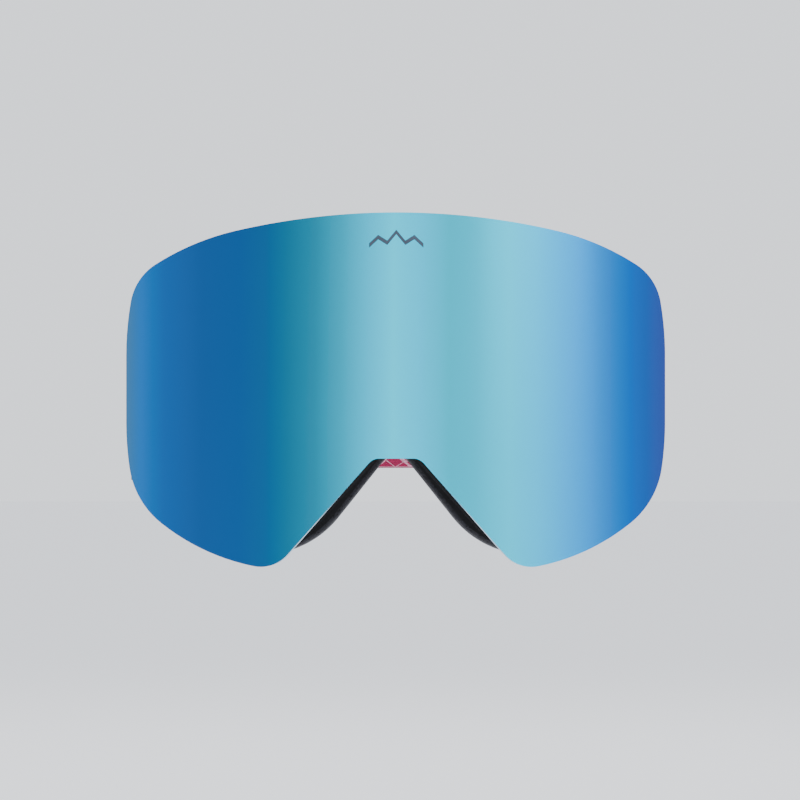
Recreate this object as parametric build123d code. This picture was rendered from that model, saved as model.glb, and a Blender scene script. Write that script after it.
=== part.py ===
from build123d import *

import os
from dataclasses import dataclass
from math import acos, asin, atan2, cos, degrees, hypot, pi, radians, sin, sqrt, tan

# Ski goggles with a cylindrical snap-off lens, a vented soft frame, three layers of face foam and an elastic
# strap that hangs on two swivelling clips.
#
# The origin is the middle of the face opening, on the fleece that touches the face, at mid-height of the lens.
# -Y is the way the lens faces, +Y is towards the wearer, +Z is up, and +X is to the right of someone who
# looks at the lens. "left" pieces are on the -X side and "right" pieces on the +X side. Millimetres.

# Lens
LENS_CHORD = 176.0  # straight width between the side edges
LENS_HEIGHT = 115.0
LENS_HALF_WRAP = 48.2  # degrees that the cylinder turns from the middle to a side edge
GOGGLE_DEPTH = 48.0  # front of the lens to the fleece, at the middle
OUTER_LENS_WALL = 1.4
INNER_LENS_WALL = 0.8
LENS_AIR_GAP = 3.2
CARRIER_INSET = 1.2
CARRIER_WIDTH = 9.0
CARRIER_WALL = 2.4
SPACER_CLEARANCE = 0.6
SPACER_WIDTH = 4.2

# Nose notch of the lens
NOSE_DEPTH = 35.2
NOSE_HALF_WIDTH = 7.6
NOSE_ANGLE = 41.6  # degrees between the notch's edge and the vertical
NOSE_CORNER = 4.5
LOBE_X = 44.0  # from the middle to the lowest point of each side

# Radii and hand-over angles of the outline, from the top middle round to the lobe
CROWN_RADIUS = 235.0
SHOULDER_RADIUS = 85.0
CORNER_RADIUS = 18.0
SIDE_RADIUS = 100.0
LOWER_CORNER_RADIUS = 28.0
SHOULDER_END = 32.0
CORNER_END = 80.0
LOWER_SIDE_END = 8.5
LOWER_CORNER_END = 52.0
SWEEP_END = 79.0

# Frame
LENS_TO_FRAME_GAP = 0.3
FLANGE_INSET = 2.0
FLANGE_WIDTH = 8.4
FLANGE_WALL = 2.8
FRAME_WALL = 2.2
FRAME_SIDE_INSET = 8.0
FRAME_TOP_INSET = 5.0
FRAME_BOTTOM_INSET = 4.0
FRAME_NOSE_INSET = 0.75
FRAME_NOSE_HALF_WIDTH = 5.5
FRAME_RADIUS_INSET = 5.0
FRAME_NOSE_CORNER = 3.5
SEAT_WALL = 1.8
SEAT_INSET = 1.2
SEAT_WIDTH = 11.8

# Face foam
FACE_HALF_WRAP = 54.2  # degrees that the face surface turns from the middle to a side
FOAM_SIDE_INSET = 8.5
FOAM_TOP_INSET = 3.5
FOAM_BOTTOM_INSET = 4.0
FOAM_NOSE_INSET = 1.55
FOAM_NOSE_HALF_WIDTH = 2.6
FOAM_NOSE_ANGLE = 38.5
FOAM_NOSE_CORNER = 4.6
FOAM_RADIUS_INSET = 4.0
FOAM_CORNER_RADIUS = 20.0
FOAM_WIDTH = 15.0
FLEECE_THICKNESS = 2.0
COMFORT_THICKNESS = 7.0
BASE_THICKNESS = 7.0

# Magnets and locating pegs
MAGNET_RADIUS = 3.0
MAGNET_THICKNESS = 1.8
MAGNET_RECESS = 0.05
MAGNET_OPENING = 1.0  # how far a pocket's cutter runs past the surface
MAGNET_STATIONS = (0.07, 0.27, 0.60, 0.77, 0.95)  # shares of the half outline, from the top to the notch
PEG_RADIUS = 2.0
PEG_CLEARANCE = 0.15
PEG_INSET = 7.0  # from the lens's side edge
PEG_LENGTH = 3.0  # behind the carrier
PEG_END_GAP = 0.5

# Breather plug in the inner lens
BREATHER_STATION = 0.243  # share of the half outline, from the top to the notch
BREATHER_INSET = 16.2
BREATHER_RADIUS = 2.5
BREATHER_RIM = 1.0
BREATHER_CAP = 0.6

# Vents
VENT_LENGTH = 9.0
VENT_CORNER = 2.0
TOP_VENT_WIDTH = 14.0
TOP_VENT_PITCH = 20.0
TOP_VENT_PAIRS = 3
LOWER_VENT_WIDTH = 11.0
LOWER_VENT_XS = (40.0, 55.0, 69.0)
SCREEN_THICKNESS = 1.8
SCREEN_MARGIN = 2.0  # from the flange and from the seat
SCREEN_END = 3.0  # how far a screen runs past its last vent

# Swivelling strap clips. The shares are of the room between the frame's flange and its seat, at the side.
PIVOT_Z = -3.0
PIVOT_SHARE = 0.734  # from the flange to the pivot
CLIP_HUB_SHARE = 0.4655  # radii from here
BOSS_SHARE = 0.432
WASHER_SHARE = 0.366
PIN_HEAD_SHARE = 0.299
PIN_FOOT_SHARE = 0.226
PIN_SHARE = 0.133
PIN_CLEARANCE = 0.06
PIN_HEAD = 1.4
PIN_FOOT = 1.0
PIN_FOOT_CLEARANCE = 0.3
PIN_SPOT_FACE = 0.2  # how deep the foot is let into the wall
BOSS_HEIGHT = 0.6
WASHER_THICKNESS = 0.25
CLIP_GAP = 0.05
CLIP_WALL = 2.4
CLIP_JOGGLE = 1.9
CLIP_JOGGLE_START = 10.5  # behind the pivot
CLIP_JOGGLE_END = 19.5
CLIP_CORNER = 3.0
CLIP_END = 33.0  # behind the pivot
CLIP_LUG = 3.2
BAR_RADIUS = 1.2
BAR_FROM_END = 2.0
SLOT_LENGTH = 5.3  # in front of the bar
CLIP_WINDOW_FRONT = 11.0  # behind the pivot
CLIP_WINDOW_BACK = 20.5
CLIP_WINDOW_HALF_HEIGHT = 10.0
CLIP_WINDOW_CORNER = 1.8

# Strap
STRAP_WIDTH = 48.0
STRAP_THICKNESS = 1.5
STRAP_SIDE_GAP = 0.3  # between a webbing edge and the clip's lugs
FOLD_RADIUS = 2.1  # of the webbing's middle, round the clip's bar
LAYER_GAP = 0.2
FOLD_REACH = 11.5  # from the bar to where the two layers lie together
FOLD_STRAIGHT = 2.0
SPAN_LENGTH = 22.0
LAP_LENGTH = 34.0  # sewn double stretch behind the span
TEMPLE_RADIUS = 100.0
TEMPLE_TURN = 20.0  # degrees
GRIP_THICKNESS = 0.4
GRIP_WIDTH = 2.0
GRIP_PITCH = 8.0
GRIP_LINES = 3
GRIP_HALF_TURN = 52.0  # degrees either side of the back of the head

# Strap sliders
SLIDER_BAR = 3.0
SLIDER_LENGTH = 14.0
SLIDER_WALL = 1.6
SLIDER_MIDDLE_BAR = 4.0
SLIDER_GAP = 0.3
SLIDER_INNER_GAP = 0.3
SLIDER_FROM_LAP = 10.0  # from the front of the lap to the slider

# Worked out from the sizes above
LENS_HALF = LENS_CHORD / 2
LENS_TOP = LENS_HEIGHT / 2
LENS_BOTTOM = -LENS_HEIGHT / 2
NOSE_TOP = LENS_BOTTOM + NOSE_DEPTH
LENS_RADIUS = LENS_HALF / sin(radians(LENS_HALF_WRAP))
LENS_AXIS_Y = LENS_RADIUS - GOGGLE_DEPTH
FRAME_HALF = LENS_HALF - FRAME_SIDE_INSET
FOAM_HALF = LENS_HALF - FOAM_SIDE_INSET
FACE_RADIUS = FOAM_HALF / sin(radians(FACE_HALF_WRAP))
FLANGE_FRONT = OUTER_LENS_WALL + CARRIER_WALL + LENS_TO_FRAME_GAP
PARTING_DEPTH = FLANGE_FRONT - LENS_TO_FRAME_GAP / 2
FLANGE_REAR = FLANGE_FRONT + FLANGE_WALL
FLANGE_INNER_INSET = FLANGE_INSET + FLANGE_WIDTH
SPACER_INSET = CARRIER_INSET + CARRIER_WIDTH + SPACER_CLEARANCE
MAGNET_INSET = FLANGE_INSET + FLANGE_WIDTH / 2
MAGNET_SEAT = FLANGE_FRONT + MAGNET_RECESS  # depth of the frame's magnets
SEAT_REAR = FLEECE_THICKNESS + COMFORT_THICKNESS + BASE_THICKNESS
SEAT_FRONT = SEAT_REAR + SEAT_WALL
BOSS_X = FRAME_HALF + BOSS_HEIGHT
CLIP_X = BOSS_X + WASHER_THICKNESS + CLIP_GAP
CLIP_FACE_X = CLIP_X + CLIP_WALL
BAR_X = CLIP_X + CLIP_JOGGLE + CLIP_WALL / 2
PIN_FOOT_X = FRAME_HALF - FRAME_WALL + PIN_SPOT_FACE
ROOM_FRONT = LENS_AXIS_Y - sqrt((LENS_RADIUS - FLANGE_REAR) ** 2 - CLIP_FACE_X**2)
ROOM_BACK = FACE_RADIUS - sqrt((FACE_RADIUS + SEAT_FRONT) ** 2 - (PIN_FOOT_X - PIN_FOOT) ** 2)
SIDE_ROOM = ROOM_BACK - ROOM_FRONT
PIVOT_Y = ROOM_FRONT + PIVOT_SHARE * SIDE_ROOM
CLIP_HUB_RADIUS = CLIP_HUB_SHARE * SIDE_ROOM
BOSS_RADIUS = BOSS_SHARE * SIDE_ROOM
WASHER_RADIUS = WASHER_SHARE * SIDE_ROOM
PIN_HEAD_RADIUS = PIN_HEAD_SHARE * SIDE_ROOM
PIN_FOOT_RADIUS = PIN_FOOT_SHARE * SIDE_ROOM
PIN_RADIUS = PIN_SHARE * SIDE_ROOM
BAR_Y = PIVOT_Y + CLIP_END - BAR_FROM_END
STRAP_BOTTOM = PIVOT_Z - STRAP_WIDTH / 2
LAYER_OFFSET = (STRAP_THICKNESS + LAYER_GAP) / 2
OUTER_LAYER_X = BAR_X + LAYER_OFFSET
INNER_LAYER_X = BAR_X - LAYER_OFFSET
FOLD_END_Y = BAR_Y + FOLD_REACH + FOLD_STRAIGHT
BAND_START_Y = FOLD_END_Y + SPAN_LENGTH
BAND_STRAIGHT_END_Y = BAND_START_Y + LAP_LENGTH
BACK_RADIUS = (OUTER_LAYER_X - TEMPLE_RADIUS * (1 - cos(radians(TEMPLE_TURN)))) / cos(radians(TEMPLE_TURN))
BACK_CENTRE_Y = BAND_STRAIGHT_END_Y + (TEMPLE_RADIUS - BACK_RADIUS) * sin(radians(TEMPLE_TURN))
TALL = 3 * LENS_HEIGHT  # taller than everything, for cutting tools


@dataclass(frozen=True)
class Outline:
    """A closed outline with a crowned top, two lobes and a nose notch, alike on both sides of the middle."""

    half_width: float
    top: float
    bottom: float
    notch_top: float
    notch_half: float
    notch_angle: float
    notch_corner: float
    corner: float
    radius_inset: float = 0.0

    def half_edges(self) -> list:
        """Tangent arcs and lines of the +X half, from the top middle, clockwise, to the notch's middle."""
        crown = CROWN_RADIUS - self.radius_inset
        shoulder = SHOULDER_RADIUS - self.radius_inset
        side = SIDE_RADIUS - self.radius_inset
        lower_corner = LOWER_CORNER_RADIUS - self.radius_inset
        a2, a3 = radians(SHOULDER_END), radians(CORNER_END)
        b1, b2, b3 = radians(LOWER_SIDE_END), radians(LOWER_CORNER_END), radians(SWEEP_END)
        slant = radians(self.notch_angle)
        turn = pi / 2 - slant

        # The crown's angle is what brings the upper arcs out to the half width.
        reach = self.half_width - shoulder * sin(a2) - self.corner * (sin(a3) - sin(a2)) - side * (1 - sin(a3))
        a1 = asin(reach / (crown - shoulder))
        upper = crown * (1 - cos(a1)) + shoulder * (cos(a1) - cos(a2))
        upper += self.corner * (cos(a2) - cos(a3)) + side * cos(a3)

        # The lobe's radius meets the notch's slanted edge, and the sweep's radius meets the lobe.
        depth = self.notch_top - self.bottom
        tip_x = self.notch_half + depth * tan(slant)
        lobe = (LOBE_X - tip_x) / tan(turn / 2)
        reach = self.half_width - LOBE_X - side * (1 - cos(b1)) - lower_corner * (cos(b1) - cos(b2))
        sweep = (reach - lobe * cos(b3)) / (cos(b2) - cos(b3))
        lower = side * sin(b1) + lower_corner * (sin(b2) - sin(b1))
        lower += sweep * (sin(b3) - sin(b2)) + lobe * (1 - sin(b3))

        straight = self.top - self.bottom - upper - lower
        notch_tangent = self.notch_corner * tan(turn / 2)
        slanted = depth / cos(slant) - notch_tangent - (LOBE_X - tip_x)
        steps = [
            (crown, -a1),
            (shoulder, a1 - a2),
            (self.corner, a2 - a3),
            (side, a3 - pi / 2),
            (straight, None),
            (side, -b1),
            (lower_corner, b1 - b2),
            (sweep, b2 - b3),
            (lobe, b3 - pi / 2 - turn),
            (slanted, None),
            (self.notch_corner, turn),
            (self.notch_half - notch_tangent, None),
        ]
        edges = []
        point, heading = Vector(0, self.top), Vector(1, 0)
        for size, angle in steps:
            if angle is None:
                edge = Line(point, point + heading * size)
            else:
                edge = JernArc(point, heading, size, degrees(angle))
            edges.append(edge)
            point, heading = edge @ 1, edge % 1
        return edges

    def face(self, inset: float = 0.0):
        """The whole outline as a face, moved inwards by inset."""
        half = self.half_edges()
        other_half = mirror(Curve() + half, about=Plane.YZ)
        whole = make_face([*half, *other_half.edges()])
        return offset(whole, -inset, kind=Kind.ARC) if inset else whole

    def inner_point(self, share: float, inset: float) -> Vector:
        """The point at a share of the half outline's length, moved inwards by inset."""
        path = Wire(self.half_edges())
        heading = path.tangent_at(share)
        return path.position_at(share) + Vector(heading.Y, -heading.X) * inset


LENS = Outline(LENS_HALF, LENS_TOP, LENS_BOTTOM, NOSE_TOP, NOSE_HALF_WIDTH, NOSE_ANGLE, NOSE_CORNER, CORNER_RADIUS)
FRAME = Outline(
    FRAME_HALF,
    LENS_TOP - FRAME_TOP_INSET,
    LENS_BOTTOM + FRAME_BOTTOM_INSET,
    NOSE_TOP + FRAME_NOSE_INSET,
    FRAME_NOSE_HALF_WIDTH,
    NOSE_ANGLE,
    FRAME_NOSE_CORNER,
    CORNER_RADIUS - FRAME_RADIUS_INSET,
    FRAME_RADIUS_INSET,
)
FOAM = Outline(
    FOAM_HALF,
    LENS_TOP - FOAM_TOP_INSET,
    LENS_BOTTOM + FOAM_BOTTOM_INSET,
    NOSE_TOP + FOAM_NOSE_INSET,
    FOAM_NOSE_HALF_WIDTH,
    FOAM_NOSE_ANGLE,
    FOAM_NOSE_CORNER,
    FOAM_CORNER_RADIUS,
    FOAM_RADIUS_INSET,
)


def prism(face, y_from: float, y_to: float):
    """A face drawn in X and Z, extruded along Y."""
    return extrude(Plane.XZ.offset(-y_to) * face, y_to - y_from)


def lens_drum(depth: float):
    """The upright cylinder that lies depth behind the lens's front surface."""
    return Pos(0, LENS_AXIS_Y) * Cylinder(LENS_RADIUS - depth, TALL)


def face_drum(height: float):
    """The upright cylinder that lies height in front of the face surface."""
    return Pos(0, FACE_RADIUS) * Cylinder(FACE_RADIUS + height, TALL)


def lens_layer(face, front: float, rear: float):
    """A curved sheet of the given outline between two depths behind the lens's front surface."""
    return prism(face, -2 * GOGGLE_DEPTH, LENS_AXIS_Y) & (lens_drum(front) - lens_drum(rear))


def face_layer(face, rear: float, front: float):
    """A curved sheet of the given outline between two heights in front of the face surface."""
    return prism(face, -2 * GOGGLE_DEPTH, FACE_RADIUS) & (face_drum(front) - face_drum(rear))


def lens_plane(x: float, z: float, depth: float) -> Plane:
    """A plane at a depth behind the lens's front, square to the line that crosses the parting surface at (x, z)."""
    y = LENS_AXIS_Y - sqrt((LENS_RADIUS - PARTING_DEPTH) ** 2 - x**2)
    return Plane((x, y, z), x_dir=(0, 0, 1), z_dir=(x, y - LENS_AXIS_Y, 0)).offset(PARTING_DEPTH - depth)


def both_sides(part):
    """A part and its mirror image on the -X side."""
    return part + mirror(part, about=Plane.YZ)


def mirrored_pair(name: str, part) -> dict:
    """The right piece, built at +X, and its left twin."""
    return {f"{name}_right": part, f"{name}_left": mirror(part, about=Plane.YZ)}


def magnet_discs(front: float, rear: float) -> list:
    """The discs of a magnet's radius between two depths behind the lens's front surface."""
    disc = Cylinder(MAGNET_RADIUS, rear - front, align=(Align.CENTER, Align.CENTER, Align.MAX))
    places = [LENS.inner_point(share, MAGNET_INSET) for share in MAGNET_STATIONS]
    return [lens_plane(side * p.X, p.Y, front) * disc for p in places for side in (-1, 1)]


def locating_pegs(radius: float, length: float):
    """One straight peg along Y near each side edge, from inside the outer lens to length behind the carrier."""
    x = LENS_HALF - PEG_INSET
    root = LENS_AXIS_Y - sqrt((LENS_RADIUS - OUTER_LENS_WALL - CARRIER_WALL) ** 2 - x**2)
    reach = 2 * CARRIER_WALL
    peg = Pos(x, root + (length - reach) / 2) * Rot(90, 0, 0) * Cylinder(radius, length + reach)
    return both_sides(peg)


def lens_parts() -> dict:
    """Everything that comes off with the lens."""
    carrier_rear = OUTER_LENS_WALL + CARRIER_WALL
    carrier_ring = LENS.face(CARRIER_INSET) - LENS.face(CARRIER_INSET + CARRIER_WIDTH)
    carrier = lens_layer(carrier_ring, OUTER_LENS_WALL, carrier_rear)
    carrier += locating_pegs(PEG_RADIUS, PEG_LENGTH) & lens_drum(OUTER_LENS_WALL)
    magnet_rear = carrier_rear - MAGNET_RECESS
    magnet_front = magnet_rear - MAGNET_THICKNESS

    inner_front = OUTER_LENS_WALL + LENS_AIR_GAP
    inner_rear = inner_front + INNER_LENS_WALL
    spacer_ring = LENS.face(SPACER_INSET) - LENS.face(SPACER_INSET + SPACER_WIDTH)
    place = LENS.inner_point(BREATHER_STATION, BREATHER_INSET)
    plug_plane = lens_plane(place.X, place.Y, inner_rear)
    plug = plug_plane * Cylinder(BREATHER_RADIUS, 2 * INNER_LENS_WALL)
    cap = plug_plane * Cylinder(BREATHER_RADIUS + BREATHER_RIM, 2 * BREATHER_CAP) & lens_drum(inner_rear)
    inner_lens = lens_layer(LENS.face(SPACER_INSET), inner_front, inner_rear)
    return {
        "outer_lens": lens_layer(LENS.face(), 0, OUTER_LENS_WALL),
        "lens_carrier": carrier - magnet_discs(magnet_front, carrier_rear + MAGNET_OPENING),
        "lens_magnets": Compound(magnet_discs(magnet_front, magnet_rear)),
        "lens_spacer": lens_layer(spacer_ring, OUTER_LENS_WALL, inner_front),
        "inner_lens": inner_lens - plug,
        "breather_plug": (plug & lens_drum(inner_front)) + cap,
    }


def vent_openings(width: float, xs, z_from: float, z_to: float):
    """Upright cutters with rounded corners, each turned to follow the frame's curve."""
    cutters = []
    for x in xs:
        flange_rear = LENS_AXIS_Y - sqrt((LENS_RADIUS - FLANGE_REAR) ** 2 - x**2)
        seat_front = FACE_RADIUS - sqrt((FACE_RADIUS + SEAT_FRONT) ** 2 - x**2)
        place = Pos(x, (flange_rear + seat_front) / 2, z_from) * Rot(0, 0, degrees(asin(x / LENS_RADIUS)))
        cutters.append(extrude(place * RectangleRounded(width, VENT_LENGTH, VENT_CORNER), z_to - z_from))
    return Part() + cutters


def along_x(radius: float, x_from: float, x_to: float):
    """A cylinder on the pivot's axis between two X positions."""
    middle = Pos((x_from + x_to) / 2, PIVOT_Y, PIVOT_Z)
    return middle * Rot(0, 90, 0) * Cylinder(radius, x_to - x_from)


def face_frame():
    """The moulded frame: front flange, vented wall, foam seat, pivot bosses and magnet pockets."""
    flange_outline = LENS.face(FLANGE_INSET) + FRAME.face()
    flange_opening = LENS.face(FLANGE_INNER_INSET) & FRAME.face(FRAME_WALL)
    flange = lens_layer(flange_outline - flange_opening, FLANGE_FRONT, FLANGE_REAR)

    wall_tube = prism(FRAME.face() - FRAME.face(FRAME_WALL), -2 * GOGGLE_DEPTH, LENS_AXIS_Y)
    wall = (wall_tube & lens_drum(FLANGE_FRONT)) - face_drum(SEAT_REAR)

    seat_outline = FOAM.face(SEAT_INSET) + FRAME.face()
    seat = face_layer(seat_outline - FOAM.face(SEAT_INSET + SEAT_WIDTH), SEAT_REAR, SEAT_FRONT)

    boss = along_x(BOSS_RADIUS, FRAME_HALF - FRAME_WALL, BOSS_X)
    pin_hole = along_x(PIN_RADIUS, FRAME_HALF - 2 * FRAME_WALL, BOSS_X)
    pin_hole += along_x(PIN_FOOT_RADIUS + PIN_FOOT_CLEARANCE, PIN_FOOT_X - 2 * PIN_FOOT, PIN_FOOT_X)

    top_xs = [TOP_VENT_PITCH * i for i in range(-TOP_VENT_PAIRS, TOP_VENT_PAIRS + 1)]
    lower_xs = [sign * x for x in LOWER_VENT_XS for sign in (-1, 1)]
    vents = vent_openings(TOP_VENT_WIDTH, top_xs, 0, LENS_TOP)
    vents += vent_openings(LOWER_VENT_WIDTH, lower_xs, LENS_BOTTOM, NOSE_TOP)

    pockets = magnet_discs(FLANGE_FRONT - MAGNET_OPENING, MAGNET_SEAT + MAGNET_THICKNESS)
    peg_holes = locating_pegs(PEG_RADIUS + PEG_CLEARANCE, PEG_LENGTH + PEG_END_GAP)
    frame = flange + wall + seat + both_sides(boss)
    return frame - vents - both_sides(pin_hole) - pockets - peg_holes


def vent_screens() -> dict:
    """Open-cell screens glued inside the vented walls."""
    ring = FRAME.face(FRAME_WALL) - FRAME.face(FRAME_WALL + SCREEN_THICKNESS)
    tube = prism(ring, -2 * GOGGLE_DEPTH, LENS_AXIS_Y)
    tube = (tube & lens_drum(FLANGE_REAR + SCREEN_MARGIN)) - face_drum(SEAT_FRONT + SCREEN_MARGIN)
    top_half = TOP_VENT_PITCH * TOP_VENT_PAIRS + TOP_VENT_WIDTH / 2 + SCREEN_END
    low_from = min(LOWER_VENT_XS) - LOWER_VENT_WIDTH / 2
    low_to = max(LOWER_VENT_XS) + LOWER_VENT_WIDTH / 2
    above = (Align.CENTER, Align.CENTER, Align.MIN)
    below = (Align.CENTER, Align.CENTER, Align.MAX)
    top_block = Box(2 * top_half, TALL, TALL, align=above)
    low_block = Pos((low_from + low_to) / 2, 0, NOSE_TOP) * Box(low_to - low_from, TALL, TALL, align=below)
    screens = {"top_vent_screen": tube & top_block}
    screens.update(mirrored_pair("lower_vent_screen", tube & low_block))
    return screens


def face_foam() -> dict:
    """Three layers of foam on the frame's seat, the fleece against the face."""
    ring = FOAM.face() - FOAM.face(FOAM_WIDTH)
    comfort_front = FLEECE_THICKNESS + COMFORT_THICKNESS
    return {
        "face_fleece": face_layer(ring, 0, FLEECE_THICKNESS),
        "foam_comfort": face_layer(ring, FLEECE_THICKNESS, comfort_front),
        "foam_base": face_layer(ring, comfort_front, SEAT_REAR),
    }


def strap_clip():
    """A swivelling plate: a hub on the pivot pin, a joggled web and a bar that the webbing folds round."""
    plan_steps = [
        (CLIP_X, -CLIP_HUB_RADIUS),
        (CLIP_X, CLIP_JOGGLE_START),
        (CLIP_X + CLIP_JOGGLE, CLIP_JOGGLE_END),
        (CLIP_X + CLIP_JOGGLE, CLIP_END),
    ]
    outside = [(x + CLIP_WALL, y) for x, y in reversed(plan_steps)]
    plan = make_face(Polyline([(x, PIVOT_Y + y) for x, y in plan_steps + outside], close=True))
    plate = extrude(plan, TALL / 2, both=True)

    half_height = STRAP_WIDTH / 2 + STRAP_SIDE_GAP + CLIP_LUG
    corner_z = half_height - CLIP_CORNER
    wide_ys = (BAR_Y - SLOT_LENGTH - BAR_RADIUS - CLIP_LUG + CLIP_CORNER, PIVOT_Y + CLIP_END - CLIP_CORNER)
    circles = [Pos(PIVOT_Y, PIVOT_Z) * Circle(CLIP_HUB_RADIUS)]
    circles += [Pos(y, PIVOT_Z + s * corner_z) * Circle(CLIP_CORNER) for y in wide_ys for s in (-1, 1)]
    silhouette = make_hull(ShapeList([edge for circle in circles for edge in circle.edges()]))

    window_places = [(CLIP_WINDOW_FRONT, 0.0)]
    window_places += [(CLIP_WINDOW_BACK, s * CLIP_WINDOW_HALF_HEIGHT) for s in (-1, 1)]
    rounds = [Pos(PIVOT_Y + y, PIVOT_Z + z) * Circle(CLIP_WINDOW_CORNER) for y, z in window_places]
    window = make_hull(ShapeList([edge for circle in rounds for edge in circle.edges()]))

    slot_height = STRAP_WIDTH + 2 * STRAP_SIDE_GAP
    slot_front = BAR_Y - BAR_RADIUS - SLOT_LENGTH
    slot = Pos(BAR_X, slot_front, PIVOT_Z) * Box(
        4 * CLIP_WALL, 2 * CLIP_END, slot_height, align=(Align.CENTER, Align.MIN, Align.CENTER)
    )
    bar = Pos(BAR_X, BAR_Y, PIVOT_Z) * Cylinder(BAR_RADIUS, slot_height + CLIP_LUG)

    outline = Plane.YZ * (silhouette - window)
    clip = (plate & extrude(outline, TALL)) - slot
    return clip + bar - along_x(PIN_RADIUS + PIN_CLEARANCE, BOSS_X, CLIP_X + 2 * CLIP_WALL)


def pivot_pin():
    """A shouldered rivet through the frame's wall and the clip's hub."""
    head_start = CLIP_FACE_X + CLIP_GAP
    shaft = along_x(PIN_RADIUS, PIN_FOOT_X, head_start)
    head = along_x(PIN_HEAD_RADIUS, head_start, head_start + PIN_HEAD)
    foot = along_x(PIN_FOOT_RADIUS, PIN_FOOT_X - PIN_FOOT, PIN_FOOT_X)
    return shaft + head + foot


def webbing(path):
    """Webbing of full width whose middle follows a path in X and Y."""
    return Pos(0, 0, STRAP_BOTTOM) * extrude(trace(path, STRAP_THICKNESS), STRAP_WIDTH)


def layer_block(x: float, y_from: float, y_to: float):
    """A straight stretch of webbing centred at X."""
    middle = Pos(x, (y_from + y_to) / 2, PIVOT_Z)
    return middle * Box(STRAP_THICKNESS, y_to - y_from, STRAP_WIDTH)


def strap_fold():
    """The webbing that goes through the clip's slot and back on itself round the bar."""
    wrap = atan2(LAYER_OFFSET, FOLD_REACH) + acos(FOLD_RADIUS / hypot(LAYER_OFFSET, FOLD_REACH))
    dx, dy = FOLD_RADIUS * sin(wrap), FOLD_RADIUS * cos(wrap)
    arc = ThreePointArc((BAR_X - dx, BAR_Y + dy), (BAR_X, BAR_Y - FOLD_RADIUS), (BAR_X + dx, BAR_Y + dy))
    inner = Polyline((INNER_LAYER_X, FOLD_END_Y), (INNER_LAYER_X, BAR_Y + FOLD_REACH), arc @ 0)
    outer = Polyline(arc @ 1, (OUTER_LAYER_X, BAR_Y + FOLD_REACH), (OUTER_LAYER_X, FOLD_END_Y))
    return webbing(Wire([*inner.edges(), arc, *outer.edges()]))


def strap_band():
    """The single band round the back of the head, from the left span to the right span."""
    straight = Line((OUTER_LAYER_X, BAND_START_Y), (OUTER_LAYER_X, BAND_STRAIGHT_END_Y))
    temple = JernArc(straight @ 1, straight % 1, TEMPLE_RADIUS, TEMPLE_TURN)
    back = JernArc(temple @ 1, temple % 1, BACK_RADIUS, 2 * (90 - TEMPLE_TURN))
    other = mirror(Curve() + [straight, temple], about=Plane.YZ)
    return webbing(Wire([straight, temple, back, *other.edges()]))


def silicone_grip():
    """Raised lines of silicone on the inside of the back of the band."""
    outer = BACK_RADIUS - STRAP_THICKNESS / 2
    ring = Circle(outer) - Circle(outer - GRIP_THICKNESS)
    reach = 2 * outer
    half_width = reach * tan(radians(GRIP_HALF_TURN))
    wedge = make_face(Polyline([(0, 0), (half_width, reach), (-half_width, reach)], close=True))
    line = extrude(ring & wedge, GRIP_WIDTH / 2, both=True)
    zs = [PIVOT_Z + GRIP_PITCH * (i - (GRIP_LINES - 1) / 2) for i in range(GRIP_LINES)]
    return Compound([Pos(0, BACK_CENTRE_Y, z) * line for z in zs])


def strap_slider():
    """A slider with two outer bars and one middle bar that grips both layers of the lap."""
    y_from = BAND_START_Y + SLIDER_FROM_LAP
    y_to = y_from + SLIDER_LENGTH
    outer_x = OUTER_LAYER_X + STRAP_THICKNESS / 2 + SLIDER_GAP
    inner_x = INNER_LAYER_X - STRAP_THICKNESS / 2 - SLIDER_INNER_GAP
    slot_height = STRAP_WIDTH + 2 * STRAP_SIDE_GAP
    low = (Align.MIN, Align.MIN, Align.CENTER)
    body_width = outer_x + SLIDER_WALL - inner_x + SLIDER_WALL
    body = Pos(inner_x - SLIDER_WALL, y_from, PIVOT_Z) * Box(
        body_width, SLIDER_LENGTH, slot_height + 2 * SLIDER_BAR, align=low
    )
    body = fillet(body.edges().filter_by(Axis.X), SLIDER_BAR / 2)
    tunnel = Pos(inner_x, y_from - 1, PIVOT_Z) * Box(
        outer_x - inner_x, SLIDER_LENGTH + 2, slot_height, align=low
    )
    outer_slot = Pos(outer_x - 1, y_from + SLIDER_BAR, PIVOT_Z) * Box(
        SLIDER_WALL + 2, SLIDER_LENGTH - 2 * SLIDER_BAR, slot_height, align=low
    )
    inner_cut = Pos(inner_x - SLIDER_WALL - 1, y_from - 1, PIVOT_Z) * Box(
        SLIDER_WALL + 2, SLIDER_LENGTH + 2, slot_height, align=low
    )
    middle_bar = Pos(inner_x - SLIDER_WALL, (y_from + y_to - SLIDER_MIDDLE_BAR) / 2, PIVOT_Z) * Box(
        SLIDER_WALL, SLIDER_MIDDLE_BAR, slot_height + SLIDER_BAR, align=low
    )
    return body - tunnel - outer_slot - inner_cut + middle_bar


def strap_parts() -> dict:
    """Clips, webbing, sliders and silicone."""
    span = Compound([layer_block(x, FOLD_END_Y, BAND_START_Y) for x in (INNER_LAYER_X, OUTER_LAYER_X)])
    parts = {"strap_band": strap_band(), "silicone_grip": silicone_grip()}
    for name, part in (
        ("pivot_pin", pivot_pin()),
        ("pivot_washer", along_x(WASHER_RADIUS, BOSS_X, BOSS_X + WASHER_THICKNESS) - pivot_pin()),
        ("strap_clip", strap_clip()),
        ("strap_fold", strap_fold()),
        ("strap_span", span),
        ("strap_tail", layer_block(INNER_LAYER_X, BAND_START_Y, BAND_STRAIGHT_END_Y)),
        ("strap_slider", strap_slider()),
    ):
        parts.update(mirrored_pair(name, part))
    return parts


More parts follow.
